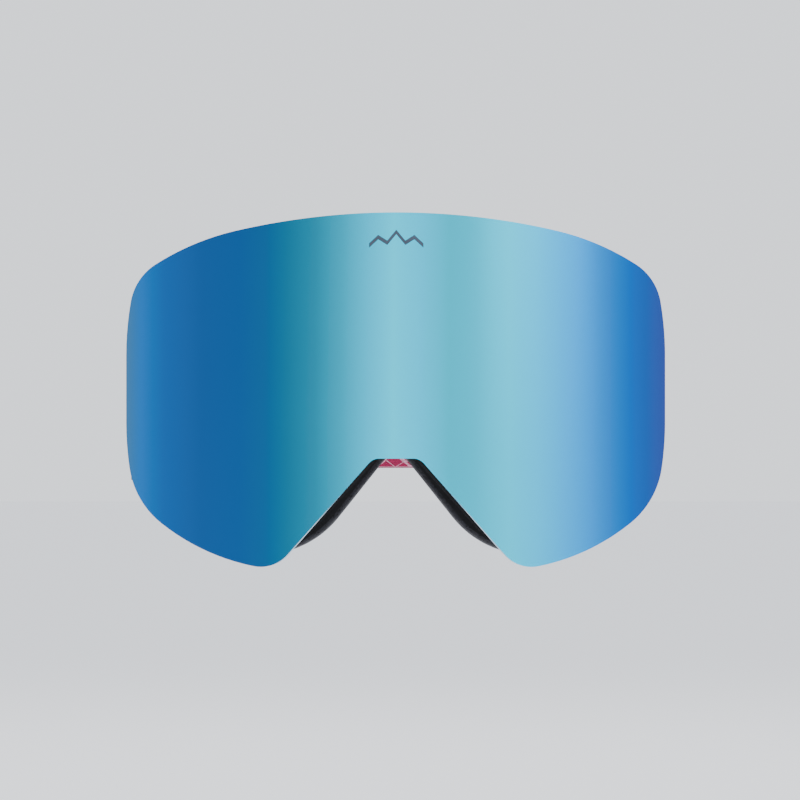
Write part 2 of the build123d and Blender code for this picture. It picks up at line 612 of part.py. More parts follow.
def goggles() -> dict:
    """Every node of the goggles by name."""
    return {
        "face_frame": face_frame(),
        "frame_magnets": Compound(magnet_discs(MAGNET_SEAT, MAGNET_SEAT + MAGNET_THICKNESS)),
        **lens_parts(),
        **vent_screens(),
        **face_foam(),
        **strap_parts(),
    }


if __name__ == "__main__":
    os.makedirs("parts", exist_ok=True)
    for node, solid in goggles().items():
        export_step(solid, f"parts/{node}.step")
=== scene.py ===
"""The looks of a pair of ski goggles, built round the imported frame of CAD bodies.

Every new piece is modelled in metres in the frame's own axes: -Y is the way the lens faces, +Y is towards the
head, +Z is up. A piece takes its size and place from the CAD node that it replaces.
"""

import logging
import math
from dataclasses import dataclass, field
from enum import Enum

import bmesh
import bpy
from mathutils import Matrix, Vector


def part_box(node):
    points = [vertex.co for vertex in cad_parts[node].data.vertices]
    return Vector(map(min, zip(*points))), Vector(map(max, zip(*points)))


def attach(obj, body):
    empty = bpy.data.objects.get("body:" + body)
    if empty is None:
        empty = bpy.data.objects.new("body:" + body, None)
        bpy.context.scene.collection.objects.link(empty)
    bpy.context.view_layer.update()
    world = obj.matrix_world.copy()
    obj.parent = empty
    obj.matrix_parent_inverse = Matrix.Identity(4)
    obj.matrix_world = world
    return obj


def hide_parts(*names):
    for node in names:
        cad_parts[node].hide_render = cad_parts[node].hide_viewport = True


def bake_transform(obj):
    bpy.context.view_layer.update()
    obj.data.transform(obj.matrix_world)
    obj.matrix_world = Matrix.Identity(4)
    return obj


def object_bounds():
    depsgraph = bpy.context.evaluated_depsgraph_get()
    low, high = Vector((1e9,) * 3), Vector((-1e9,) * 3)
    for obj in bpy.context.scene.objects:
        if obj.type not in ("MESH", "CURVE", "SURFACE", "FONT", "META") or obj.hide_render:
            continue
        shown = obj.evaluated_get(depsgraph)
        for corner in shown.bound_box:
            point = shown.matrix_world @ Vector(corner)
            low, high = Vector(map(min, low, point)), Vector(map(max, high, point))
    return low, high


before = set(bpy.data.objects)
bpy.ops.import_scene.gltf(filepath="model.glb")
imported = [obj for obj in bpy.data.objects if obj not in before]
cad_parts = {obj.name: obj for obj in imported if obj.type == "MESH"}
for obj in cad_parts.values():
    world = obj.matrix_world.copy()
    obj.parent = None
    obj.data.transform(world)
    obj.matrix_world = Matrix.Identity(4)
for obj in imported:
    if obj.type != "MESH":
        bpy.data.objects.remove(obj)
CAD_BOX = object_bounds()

LOG = logging.getLogger("goggles")
MM = 0.001
Tree = bpy.types.ShaderNodeTree
Socket = bpy.types.NodeSocket
Material = bpy.types.Material
Mesh = bmesh.types.BMesh
Rgb = tuple[int, int, int]
Rgba = tuple[float, float, float, float]
SKIN = 0.01 * MM  # two points this close are taken as one place
WELD = 0.001 * MM  # corners this close are merged
FLAT_TURN = math.radians(0.5)  # triangles that turn less than this make one flat face


# Small helpers


class Side(Enum):
    """The two sides of the goggles, with the sign of their X."""

    LEFT = -1
    RIGHT = 1

    @property
    def label(self) -> str:
        """The word that ends a node's name on this side."""
        return self.name.lower()


def srgb(red: int, green: int, blue: int) -> Rgba:
    """Turns a display colour, 0 to 255, into the linear colour with alpha that a shader takes.

    Args:
        red: 0 to 255.
        green: 0 to 255.
        blue: 0 to 255.

    Returns:
        Linear red, green, blue and an alpha of 1.
    """
    channels = [value / 255 for value in (red, green, blue)]
    linear = [c / 12.92 if c <= 0.04045 else ((c + 0.055) / 1.055) ** 2.4 for c in channels]
    return (*linear, 1.0)


def toned(colour: Rgb, share: float, lift: int = 0) -> Rgba:
    """The linear colour of a display colour whose channels are multiplied by a share and lifted."""
    return srgb(*(min(255, int(channel * share) + lift) for channel in colour))


def node_copy(node: str) -> Mesh:
    """Copies a CAD node's mesh and merges its loose triangles, into a bmesh that the caller frees.

    Args:
        node: the CAD node's name.

    Returns:
        A closed bmesh.
    """
    bm = bmesh.new()
    bm.from_mesh(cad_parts[node].data)
    bmesh.ops.remove_doubles(bm, verts=bm.verts, dist=WELD)
    return bm


def to_object(bm: Mesh, name: str, materials: list[Material]) -> bpy.types.Object:
    """Writes a bmesh into a new object at the origin and frees it.

    Args:
        bm: the finished mesh.
        name: the piece's name.
        materials: its materials, in the order of the faces' indices.

    Returns:
        The new object, linked to the scene and shaded smooth.
    """
    mesh = bpy.data.meshes.new(name)
    bm.to_mesh(mesh)
    bm.free()
    mesh.shade_smooth()
    for material in materials:
        mesh.materials.append(material)
    piece = bpy.data.objects.new(name, mesh)
    bpy.context.scene.collection.objects.link(piece)
    return piece


def sharp_edges(bm: Mesh, degrees: float) -> list[bmesh.types.BMEdge]:
    """Finds the edges whose two faces meet at more than an angle."""
    limit = math.radians(degrees)
    return [edge for edge in bm.edges if edge.is_manifold and edge.calc_face_angle(0.0) > limit]


def bevel_edges(bm: Mesh, edges: list[bmesh.types.BMEdge], width: float, segments: int = 3) -> None:
    """Rounds edges, with a rounding that reaches its width from each edge.

    Args:
        bm: the mesh that holds them.
        edges: the edges to round.
        width: how far the rounding reaches from each edge.
        segments: how many faces make the rounding.
    """
    bmesh.ops.bevel(
        bm,
        geom=edges,
        offset=width,
        offset_type="OFFSET",
        affect="EDGES",
        segments=segments,
        profile=0.5,
        material=-1,
        clamp_overlap=True,
    )


def face_forward(bm: Mesh) -> None:
    """Turns an open sheet so that its faces look towards -Y.

    Args:
        bm: the sheet.
    """
    bmesh.ops.recalc_face_normals(bm, faces=bm.faces)
    if sum(face.normal.y for face in bm.faces) > 0:
        bmesh.ops.reverse_faces(bm, faces=bm.faces)


def even_normals(piece: bpy.types.Object) -> None:
    """Lets a piece's large faces rule its shading, so that small bevels don't smear into them.

    Args:
        piece: the piece.
    """
    modifier = piece.modifiers.new("EvenNormals", "WEIGHTED_NORMAL")
    modifier.weight = 100
    modifier.keep_sharp = True


@dataclass(frozen=True)
class Drum:
    """An upright cylinder, which a lens or a face surface is part of.

    Attributes:
        radius: its radius.
        axis_y: where its axis stands.
    """

    radius: float
    axis_y: float

    def y_at(self, x: float) -> float:
        """The Y of the cylinder's front half at X."""
        return self.axis_y - math.sqrt(self.radius**2 - x**2)

    def distance(self, point: Vector) -> float:
        """How far a point is from the axis."""
        return math.hypot(point.x, point.y - self.axis_y)

    @staticmethod
    def front_of(node: str) -> "Drum":
        """The cylinder through the front's middle and side edges of a node that is a curved sheet.

        Args:
            node: a node that is a curved sheet with upright side edges.

        Returns:
            The cylinder.
        """
        low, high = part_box(node)
        side = [v.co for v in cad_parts[node].data.vertices if v.co.x > high.x - SKIN]
        return Drum.through(low.y, high.x, min(co.y for co in side))

    @staticmethod
    def through(middle_y: float, side_x: float, side_y: float) -> "Drum":
        """The cylinder through a middle point at X = 0 and a side point.

        Args:
            middle_y: the middle point's Y.
            side_x: the side point's X.
            side_y: the side point's Y.

        Returns:
            The cylinder.
        """
        rise = side_y - middle_y
        radius = (side_x**2 + rise**2) / (2 * rise)
        return Drum(radius, middle_y + radius)


# Shader node groups that several finishes share


class NodeTree:
    """A short way to place and join shader nodes in one tree."""

    def __init__(self, tree: Tree) -> None:
        """Keeps the tree that nodes are placed in."""
        self.tree = tree

    def add(self, kind: str, inputs: dict | None = None, **settings: object) -> bpy.types.ShaderNode:
        """Places a node.

        Args:
            kind: the node's type without "ShaderNode".
            inputs: input name or number to a value, or to an output socket to join.
            **settings: the node's own properties.

        Returns:
            The new node.
        """
        node = self.tree.nodes.new(f"ShaderNode{kind}")
        for name, value in settings.items():
            setattr(node, name, value)
        for name, value in (inputs or {}).items():
            self.feed(node.inputs[name], value)
        return node

    def feed(self, socket: Socket, value: object) -> None:
        """Joins an output to an input, or sets the input's value.

        Args:
            socket: the input.
            value: an output, or the value.
        """
        if isinstance(value, Socket):
            self.tree.links.new(value, socket)
        else:
            socket.default_value = value

    def math(self, operation: str, *values: object) -> Socket:
        """Places a Math node on values or outputs and returns its result."""
        node = self.add("Math", dict(enumerate(values)), operation=operation)
        return node.outputs[0]

    def times(self, first: object, second: object) -> Socket:
        """The product of two values or outputs."""
        return self.math("MULTIPLY", first, second)

    def line(self, value: Socket, slope: float, base: object) -> Socket:
        """A value times a slope, plus a base."""
        return self.math("MULTIPLY_ADD", value, slope, base)

    def ramp(self, factor: Socket, stops: list[tuple[float, tuple]]) -> Socket:
        """Places a Color Ramp with stops of position and linear colour, and returns the colour.

        Args:
            factor: what drives it.
            stops: position and linear colour of each stop, in order.

        Returns:
            The colour output.
        """
        node = self.add("ValToRGB", {"Fac": factor})
        elements = node.color_ramp.elements
        elements[0].position, elements[0].color = stops[0]
        elements[1].position, elements[1].color = stops[-1]
        for position, colour in stops[1:-1]:
            elements.new(position).color = colour
        return node.outputs["Color"]

    def mix(self, factor: object, first: object, second: object) -> Socket:
        """Mixes two colours and returns the result.

        Args:
            factor: share of the second colour.
            first: the first colour.
            second: the second colour.

        Returns:
            The colour output.
        """
        node = self.add("Mix", data_type="RGBA")
        sockets = [s for s in node.inputs if s.enabled]
        for socket, value in zip(sockets, (factor, first, second)):
            self.feed(socket, value)
        return next(s for s in node.outputs if s.enabled)


class SharedGroups:
    """The node groups that finishes share, each built once."""

    def __init__(self) -> None:
        """Builds every group."""
        self.grain = self._grain()
        self.pores = self._pores()
        self.weave = self._weave()
        self.zigzag = self._zigzag()
        self.crackle = self._crackle()
        self.scuffs = self._scuffs()

    @staticmethod
    def _start(name: str, inputs: dict[str, object], outputs: list[str]) -> tuple[NodeTree, dict, dict]:
        """Makes an empty group with named sockets.

        Args:
            name: the group's name.
            inputs: name to default value; a tuple makes a vector socket.
            outputs: names of the value outputs.

        Returns:
            The tree, the input sockets to read from by name, and the output sockets to feed by name.
        """
        tree = bpy.data.node_groups.new(name, "ShaderNodeTree")
        for label, default in inputs.items():
            kind = "NodeSocketVector" if isinstance(default, tuple) else "NodeSocketFloat"
            socket = tree.interface.new_socket(label, in_out="INPUT", socket_type=kind)
            if kind == "NodeSocketFloat":
                socket.default_value = default
        for label in outputs:
            tree.interface.new_socket(label, in_out="OUTPUT", socket_type="NodeSocketFloat")
        entry = tree.nodes.new("NodeGroupInput")
        leave = tree.nodes.new("NodeGroupOutput")
        return NodeTree(tree), entry.outputs, leave.inputs

    def _grain(self) -> Tree:
        """Fine moulded grain: a height and a slow variation.

        Returns:
            The group.
        """
        inputs = {"Vector": (0, 0, 0), "Scale": 900.0}
        t, entry, leave = self._start("MouldedGrain", inputs, ["Height", "Variation"])
        fine = t.add("TexVoronoi", {"Vector": entry["Vector"], "Scale": entry["Scale"]}, feature="SMOOTH_F1")
        slow_scale = t.times(entry["Scale"], 0.05)
        slow = t.add("TexNoise", {"Vector": entry["Vector"], "Scale": slow_scale, "Detail": 4.0})
        t.feed(leave["Height"], fine.outputs["Distance"])
        t.feed(leave["Variation"], slow.outputs["Fac"])
        return t.tree

    def _pores(self) -> Tree:
        """Open foam cells: a height, and a mask that is 1 in the pits.

        Returns:
            The group.
        """
        t, entry, leave = self._start("FoamCells", {"Vector": (0, 0, 0), "Scale": 1200.0}, ["Height", "Pit"])
        bend_scale = t.times(entry["Scale"], 0.4)
        bend = t.add("TexNoise", {"Vector": entry["Vector"], "Scale": bend_scale})
        reach = (0.0006, 0.0006, 0.0006)
        shift = t.add("VectorMath", {0: bend.outputs["Color"], 1: reach}, operation="MULTIPLY")
        place = t.add("VectorMath", {0: entry["Vector"], 1: shift.outputs[0]}, operation="ADD").outputs[0]
        pits = []
        for share, rim in ((1.0, 0.42), (2.1, 0.36)):
            scale = t.times(entry["Scale"], share)
            cell = t.add("TexVoronoi", {"Vector": place, "Scale": scale}, feature="F1").outputs["Distance"]
            limits = {"Value": cell, "From Min": rim, "From Max": 0.12}
            pits.append(t.add("MapRange", limits, interpolation_type="SMOOTHSTEP").outputs[0])
        both = t.math("MAXIMUM", *pits)
        t.feed(leave["Height"], t.math("SUBTRACT", 1.0, both))
        t.feed(leave["Pit"], both)
        return t.tree

    def _weave(self) -> Tree:
        """Plain elastic weave on a UV map in metres: a height of crossing threads.

        Returns:
            The group.
        """
        inputs = {"UV": (0, 0, 0), "Warp": 1400.0, "Weft": 1000.0}
        t, entry, leave = self._start("ElasticWeave", inputs, ["Height"])
        split = t.add("SeparateXYZ", {0: entry["UV"]})
        along = t.times(split.outputs["X"], entry["Weft"])
        across = t.times(split.outputs["Y"], entry["Warp"])
        half_step = t.times(t.math("FLOOR", across), 0.5)
        weft = t.math("SINE", t.times(t.math("ADD", along, half_step), 2 * math.pi))
        warp = t.math("ABSOLUTE", t.math("SINE", t.times(across, math.pi)))
        height = t.times(warp, t.line(weft, 0.35, 0.65))
        t.feed(leave["Height"], height)
        return t.tree

    def _zigzag(self) -> Tree:
        """Broken zigzag lines across a strap, on a UV map in metres: a mask that is 1 on the lines.

        Returns:
            The group.
        """
        inputs = {"UV": (0, 0, 0), "Wave": 0.014, "Height": 0.013, "Pitch": 0.012, "Line": 0.052}
        t, entry, leave = self._start("ZigzagLines", inputs, ["Mask"])
        jitter = t.add("TexNoise", {"Vector": entry["UV"], "Scale": 95.0, "Detail": 0.0})
        shake = t.times(t.math("SUBTRACT", jitter.outputs["Fac"], 0.5), 0.004)
        split = t.add("SeparateXYZ", {0: entry["UV"]})
        along = t.math("ADD", split.outputs["X"], shake)
        fold = t.math("PINGPONG", along, t.times(entry["Wave"], 0.5))
        rise = t.math("DIVIDE", t.times(fold, entry["Height"]), entry["Wave"])
        across = t.math("ADD", t.math("ADD", split.outputs["Y"], rise), shake)
        phase = t.math("FRACT", t.math("DIVIDE", across, entry["Pitch"]))
        worn = t.add("TexNoise", {"Vector": entry["UV"], "Scale": 260.0, "Detail": 2.0}).outputs["Fac"]
        width = t.times(entry["Line"], t.line(worn, 2.4, -0.2))
        line = t.math("LESS_THAN", t.math("ABSOLUTE", t.math("SUBTRACT", phase, 0.5)), width)
        t.feed(leave["Mask"], line)
        return t.tree

    def _crackle(self) -> Tree:
        """Fine angular crackle between the zigzags, on a UV map in metres: a mask that is 1 on the lines.

        Returns:
            The group.
        """
        inputs = {"UV": (0, 0, 0), "Scale": 120.0, "Line": 0.016}
        t, entry, leave = self._start("CrackleLines", inputs, ["Mask"])
        lean = t.add("Mapping", {"Vector": entry["UV"], "Scale": (0.75, 1.25, 1.0), "Rotation": (0, 0, 0.5)})
        cells = t.add("TexVoronoi", {"Vector": lean.outputs[0], "Scale": entry["Scale"]})
        cells.feature, cells.voronoi_dimensions = "DISTANCE_TO_EDGE", "2D"
        worn = t.add("TexNoise", {"Vector": entry["UV"], "Scale": 170.0, "Detail": 1.0}).outputs["Fac"]
        width = t.times(entry["Line"], t.line(worn, 3.0, -0.6))
        t.feed(leave["Mask"], t.math("LESS_THAN", cells.outputs["Distance"], width))
        return t.tree

    def _scuffs(self) -> Tree:
        """Light handling marks: a mask of soft smudges and thin scratches.

        Returns:
            The group.
        """
        t, entry, leave = self._start("Scuffs", {"Vector": (0, 0, 0), "Scale": 30.0}, ["Mask"])
        smudge = t.add("TexNoise", {"Vector": entry["Vector"], "Scale": entry["Scale"], "Detail": 6.0})
        stretch = t.add("Mapping", {"Vector": entry["Vector"], "Scale": (1, 1, 14), "Rotation": (0, 0.5, 0)})
        fine_scale = t.times(entry["Scale"], 6.0)
        scratch = t.add("TexNoise", {"Vector": stretch.outputs[0], "Scale": fine_scale, "Detail": 2.0})
        thin = t.math("GREATER_THAN", scratch.outputs["Fac"], 0.68)
        t.feed(leave["Mask"], t.line(thin, 0.35, smudge.outputs["Fac"]))
        return t.tree


# Finishes


class Shader:
    """One material with a Principled shader, and the nodes that feed it."""

    def __init__(self, name: str, groups: SharedGroups, **constants: object) -> None:
        """Starts a material.

        Args:
            name: the material's name.
            groups: the shared node groups.
            **constants: Principled inputs, with underscores for spaces, set on its own sockets.
        """
        self.material = bpy.data.materials.new(name)
        self.material.use_nodes = True
        self.groups = groups
        self.t = NodeTree(self.material.node_tree)
        self.principled = self.material.node_tree.nodes["Principled BSDF"]
        for label, value in constants.items():
            self.principled.inputs[label.replace("_", " ")].default_value = value
        self.coords = self.t.add("TexCoord")

    @property
    def position(self) -> Socket:
        """Object coordinates in metres."""
        return self.coords.outputs["Object"]

    @property
    def uv(self) -> Socket:
        """The piece's own UV map."""
        return self.coords.outputs["UV"]

    def group(self, tree: Tree, **inputs: object) -> bpy.types.NodeOutputs:
        """Places a shared group with its own values and returns its outputs.

        Args:
            tree: the group.
            **inputs: its own values, by the inputs' names.

        Returns:
            The outputs, by name.
        """
        node = self.t.add("Group", node_tree=tree)
        for label, value in inputs.items():
            self.t.feed(node.inputs[label], value)
        return node.outputs

    def scuffs(self, scale: float) -> Socket:
        """The mask of handling marks, at a number of smudges in a metre."""
        return self.group(self.groups.scuffs, Vector=self.position, Scale=scale)["Mask"]

    def grain(self, scale: float) -> bpy.types.NodeOutputs:
        """The outputs of the moulded grain, at a number of grains in a metre."""
        return self.group(self.groups.grain, Vector=self.position, Scale=scale)

    def set(self, label: str, value: object) -> None:
        """Feeds one Principled input."""
        self.t.feed(self.principled.inputs[label], value)

    def bump(self, height: Socket, strength: float, distance: float) -> None:
        """Feeds a height through a Bump node into the normal, with its relief in metres."""
        node = self.t.add("Bump", {"Height": height, "Strength": strength, "Distance": distance})
        self.set("Normal", node.outputs["Normal"])


@dataclass(frozen=True)
class MirrorFinish:
    """The lens's mirror coating: upright bands of blue and cyan that shift across its width. They are partly
    the coating's own colour and partly painted reflections of studio softboxes, in the brightest cyan bands.

    Attributes:
        half_width: half of the lens's width.
        bands: place across the width, from 0 to 1, and display colour of each band; the brightest cyan bands
            are painted reflections of softboxes.
    """

    half_width: float
    bands: tuple = (
        (0.000, (58, 112, 156)),
        (0.026, (20, 108, 180)),
        (0.070, (29, 89, 156)),
        (0.140, (24, 80, 140)),
        (0.210, (20, 80, 138)),
        (0.260, (22, 87, 136)),
        (0.300, (20, 105, 138)),
        (0.350, (10, 126, 154)),
        (0.400, (7, 160, 188)),
        (0.450, (7, 196, 230)),
        (0.495, (7, 223, 255)),
        (0.540, (7, 211, 247)),
        (0.600, (7, 188, 214)),
        (0.650, (7, 188, 216)),
        (0.710, (7, 199, 231)),
        (0.760, (7, 188, 234)),
        (0.810, (7, 166, 231)),
        (0.860, (7, 144, 223)),
        (0.900, (7, 121, 203)),
        (0.940, (7, 95, 186)),
        (0.965, (20, 86, 170)),
        (1.000, (47, 73, 153)),
    )

    def build(self, groups: SharedGroups) -> Material:
        """Makes the material, with a slow ripple in the bands and smudges in its roughness.

        Args:
            groups: the shared node groups.

        Returns:
            The material.
        """
        s = Shader("MirrorCoating", groups, Metallic=1.0, IOR=1.6, Coat_Weight=0.04, Coat_Roughness=0.05)
        across = s.t.add("SeparateXYZ", {0: s.position}).outputs["X"]
        share = s.t.line(across, 0.5 / self.half_width, 0.5)
        ripple = s.t.add("TexNoise", {"Vector": s.position, "Scale": 9.0, "Detail": 2.0})
        shift = s.t.times(s.t.math("SUBTRACT", ripple.outputs["Fac"], 0.5), 0.012)
        share = s.t.math("ADD", share, shift)
        # Painted reflections: the brightest cyan bands of this base colour stand in for softboxes reflected
        # in the lens.
        colour = s.t.ramp(share, [(place, srgb(*rgb)) for place, rgb in self.bands])
        s.set("Base Color", colour)
        smudge = s.scuffs(22.0)
        s.set("Roughness", s.t.line(smudge, 0.08, 0.18))
        return s.material


@dataclass(frozen=True)
class PlasticFinish:
    """A moulded plastic or rubber.

    Attributes:
        name: the material's name.
        colour: display colour.
        roughness: middle roughness.
        grain: how many grains in a metre.
        relief: height of the grain in metres.
        coat: weight of a clear gloss.
    """

    name: str
    colour: Rgb
    roughness: float
    grain: float = 1400.0
    relief: float = 0.00004
    coat: float = 0.0

    def build(self, groups: SharedGroups) -> Material:
        """Makes the material, with grain, slow colour variation and handling marks.

        Args:
            groups: the shared node groups.

        Returns:
            The material.
        """
        gloss = {"Coat_Weight": self.coat, "Coat_Roughness": 0.12, "IOR": 1.5, "Specular_IOR_Level": 0.35}
        s = Shader(self.name, groups, **gloss)
        grain = s.grain(self.grain)
        marks = s.scuffs(40.0)
        s.set("Base Color", s.t.mix(grain["Variation"], toned(self.colour, 0.82), toned(self.colour, 1.2, 4)))
        s.set("Roughness", s.t.line(marks, 0.16, self.roughness - 0.08))
        s.bump(grain["Height"], 0.6, self.relief)
        return s.material


@dataclass(frozen=True)
class FoamFinish:
    """An open-cell foam.

    Attributes:
        name: the material's name.
        colour: display colour of the struts.
        cells: how many cells in a metre.
        relief: depth of the cells in metres.
    """

    name: str
    colour: Rgb
    cells: float
    relief: float

    def build(self, groups: SharedGroups) -> Material:
        """Makes the material, with painted shade in the cells, and dull all over.

        Args:
            groups: the shared node groups.

        Returns:
            The material.
        """
        s = Shader(self.name, groups, Roughness=0.95, Sheen_Weight=0.12, Specular_IOR_Level=0.3)
        cells = s.group(groups.pores, Vector=s.position, Scale=self.cells)
        grain = s.grain(500.0)
        tone = s.t.mix(grain["Variation"], toned(self.colour, 0.85), srgb(*self.colour))
        # Painted shade: the base colour darkens towards 30% of the strut colour in the cells' pits.
        s.set("Base Color", s.t.mix(s.t.times(cells["Pit"], 0.85), tone, toned(self.colour, 0.3)))
        s.bump(cells["Height"], 0.9, self.relief)
        return s.material


@dataclass(frozen=True)
class FleeceFinish:
    """A short-pile fleece.

    Attributes:
        colour: display colour.
    """

    colour: Rgb = (27, 28, 31)

    def build(self, groups: SharedGroups) -> Material:
        """Makes the material, with tufts in its height, painted shade between them, painted light on their
        tops and a soft sheen.

        Args:
            groups: the shared node groups.

        Returns:
            The material.
        """
        s = Shader("MicroFleece", groups, Roughness=1.0, Sheen_Weight=0.35, Sheen_Roughness=0.4)
        tuft = s.t.add("TexNoise", {"Vector": s.position, "Scale": 1500.0, "Detail": 6.0, "Roughness": 0.75})
        clump = s.t.add("TexNoise", {"Vector": s.position, "Scale": 260.0, "Detail": 3.0})
        slow = s.t.times(clump.outputs["Fac"], 0.15)
        # Painted shade and light: the colour follows nearly the same noise as the height, dark between the
        # tufts and light on their tops.
        mask = s.t.line(tuft.outputs["Fac"], 0.85, slow)
        s.set("Base Color", s.t.ramp(mask, [(0.3, toned(self.colour, 0.45)), (0.7, toned(self.colour, 1.5))]))
        height = s.t.line(clump.outputs["Fac"], 0.4, tuft.outputs["Fac"])
        s.bump(height, 1.0, 0.0005)
        return s.material


@dataclass(frozen=True)
class WebbingFinish:
    """The strap's woven elastic, pink with pale broken zigzag lines.

    Attributes:
        width: the strap's width.
        ground: display colour of the ground.
        line: display colour of the zigzag.
        edge: display colour of a thin dark line along each side.
        selvedge: width of the pale line along each side.
        outermost: width of the dark line outside it.
    """

    width: float
    ground: Rgb = (192, 6, 88)
    line: Rgb = (244, 176, 202)
    edge: Rgb = (120, 14, 44)
    selvedge: float = 0.5 * MM
    outermost: float = 0.2 * MM

    def build(self, groups: SharedGroups) -> Material:
        """Makes the material on the strap's UV map, which is in metres.

        Args:
            groups: the shared node groups.

        Returns:
            The material.
        """
        s = Shader("StrapWebbing", groups, Roughness=0.8, Sheen_Weight=0.35, Sheen_Roughness=0.4)
        weave = s.group(groups.weave, UV=s.uv)
        zigzag = s.group(groups.zigzag, UV=s.uv)["Mask"]
        crackle = s.group(groups.crackle, UV=s.uv)["Mask"]
        across = s.t.add("SeparateXYZ", {0: s.uv}).outputs["Y"]
        from_edge = s.t.math("SUBTRACT", self.width / 2, s.t.math("ABSOLUTE", across))
        selvedge = s.t.math("LESS_THAN", from_edge, self.selvedge)
        outermost = s.t.math("LESS_THAN", from_edge, self.outermost)
        mottled = s.t.add("TexNoise", {"Vector": s.uv, "Scale": 900.0, "Detail": 2.0}).outputs["Fac"]
        ground = s.t.mix(mottled, toned(self.ground, 0.78), srgb(*self.ground))
        lines = s.t.math("MAXIMUM", s.t.math("MAXIMUM", zigzag, crackle), selvedge)
        figured = s.t.mix(s.t.times(lines, 0.9), ground, srgb(*self.line))
        # The colour turns dark red in a thin line along each side.
        whole = s.t.mix(outermost, figured, srgb(*self.edge))
        # Painted shade: the colour darkens towards a dark tone of the ground in the weave's low places,
        # between the threads.
        shade = s.t.line(weave["Height"], 0.45, 0.55)
        s.set("Base Color", s.t.mix(shade, toned(self.ground, 0.35), whole))
        s.bump(weave["Height"], 0.9, 0.00022)
        return s.material


@dataclass(frozen=True)
class MetalFinish:
    """A plated or brushed metal.

    Attributes:
        name: the material's name.
        colour: display colour.
        roughness: middle roughness.
    """

    name: str
    colour: Rgb
    roughness: float

    def build(self, groups: SharedGroups) -> Material:
        """Makes the material, with fine turning marks and smudges.

        Args:
            groups: the shared node groups.

        Returns:
            The material.
        """
        s = Shader(self.name, groups, Metallic=1.0)
        marks = s.scuffs(90.0)
        grain = s.grain(3000.0)
        s.set("Base Color", s.t.mix(marks, toned(self.colour, 0.8), srgb(*self.colour)))
        s.set("Roughness", s.t.line(marks, 0.2, self.roughness - 0.08))
        s.bump(grain["Height"], 0.3, 0.00002)
        return s.material


@dataclass(frozen=True)
class ClearFinish:
    """A clear sheet or a translucent silicone.

    Attributes:
        name: the material's name.
        colour: display colour of what passes through.
        roughness: roughness of its surface.
        transmission: share of light that passes.
    """

    name: str
    colour: Rgb
    roughness: float
    transmission: float

    def build(self, groups: SharedGroups) -> Material:
        """Makes the material, with a trace of handling marks in its roughness.

        Args:
            groups: the shared node groups.

        Returns:
            The material.
        """
        s = Shader(self.name, groups, IOR=1.5, Transmission_Weight=self.transmission)
        marks = s.scuffs(35.0)
        s.principled.inputs["Base Color"].default_value = srgb(*self.colour)
        s.set("Roughness", s.t.line(marks, 0.05, self.roughness))
        return s.material


@dataclass
class Palette:
    """Every finish of the goggles, built once.

    Attributes:
        groups: the shared node groups.
        made: finish name to material.
    """

    groups: SharedGroups = field(default_factory=SharedGroups)
    made: dict[str, Material] = field(default_factory=dict)

    def build(self) -> None:
        """Makes every material."""
        _, lens_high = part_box("outer_lens")
        band_low, band_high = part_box("strap_band")
        finishes = {
            "mirror": MirrorFinish(lens_high.x),
            "lens_edge": PlasticFinish("PolishedLensEdge", (112, 162, 196), 0.18, 800.0, 0.00001, 0.5),
            "lens_back": PlasticFinish("SmokeLensBack", (22, 28, 36), 0.16, 800.0, 0.000005, 0.6),
            "print": PlasticFinish("GreyPrint", (52, 66, 82), 0.5, 3000.0, 0.00001),
            "carrier": PlasticFinish("CarrierPlastic", (15, 15, 18), 0.5, 1800.0, 0.00003),
            "frame": PlasticFinish("SoftFrameRubber", (13, 13, 16), 0.62, 1500.0, 0.00005),
            "clip": PlasticFinish("ClipNylon", (12, 12, 14), 0.36, 1600.0, 0.00003, 0.25),
            "panel": PlasticFinish("ClipPanelTexture", (26, 27, 30), 0.8, 900.0, 0.00012),
            "slider": PlasticFinish("SliderAcetal", (11, 11, 13), 0.32, 1600.0, 0.00002, 0.3),
            "washer": PlasticFinish("NaturalNylon", (214, 212, 202), 0.5),
            "membrane": PlasticFinish("BreatherMembrane", (188, 192, 198), 0.7, 2600.0),
            "screen": FoamFinish("VentScreenFoam", (30, 31, 34), 480.0, 0.0006),
            "spacer": FoamFinish("SpacerFoam", (20, 20, 23), 1800.0, 0.00012),
            "foam_firm": FoamFinish("FirmFoam", (50, 50, 56), 1150.0, 0.00022),
            "foam_soft": FoamFinish("SoftFoam", (58, 60, 66), 850.0, 0.0003),
            "fleece": FleeceFinish(),
            "webbing": WebbingFinish(band_high.z - band_low.z),
            "thread": PlasticFinish("StitchThread", (236, 176, 198), 0.75, 3500.0, 0.00005),
            "silicone": ClearFinish("GripSilicone", (238, 226, 232), 0.25, 0.35),
            "inner_lens": ClearFinish("ClearInnerLens", (226, 234, 240), 0.03, 0.95),
            "magnet": MetalFinish("NickelMagnet", (190, 192, 196), 0.22),
            "pin": MetalFinish("DarkPlatedPin", (92, 95, 102), 0.34),
        }
        for name, finish in finishes.items():
            self.made[name] = finish.build(self.groups)
        LOG.info("%d finishes", len(self.made))

    def __getitem__(self, name: str) -> Material:
        """The material of a finish."""
        return self.made[name]


# Sub-assemblies


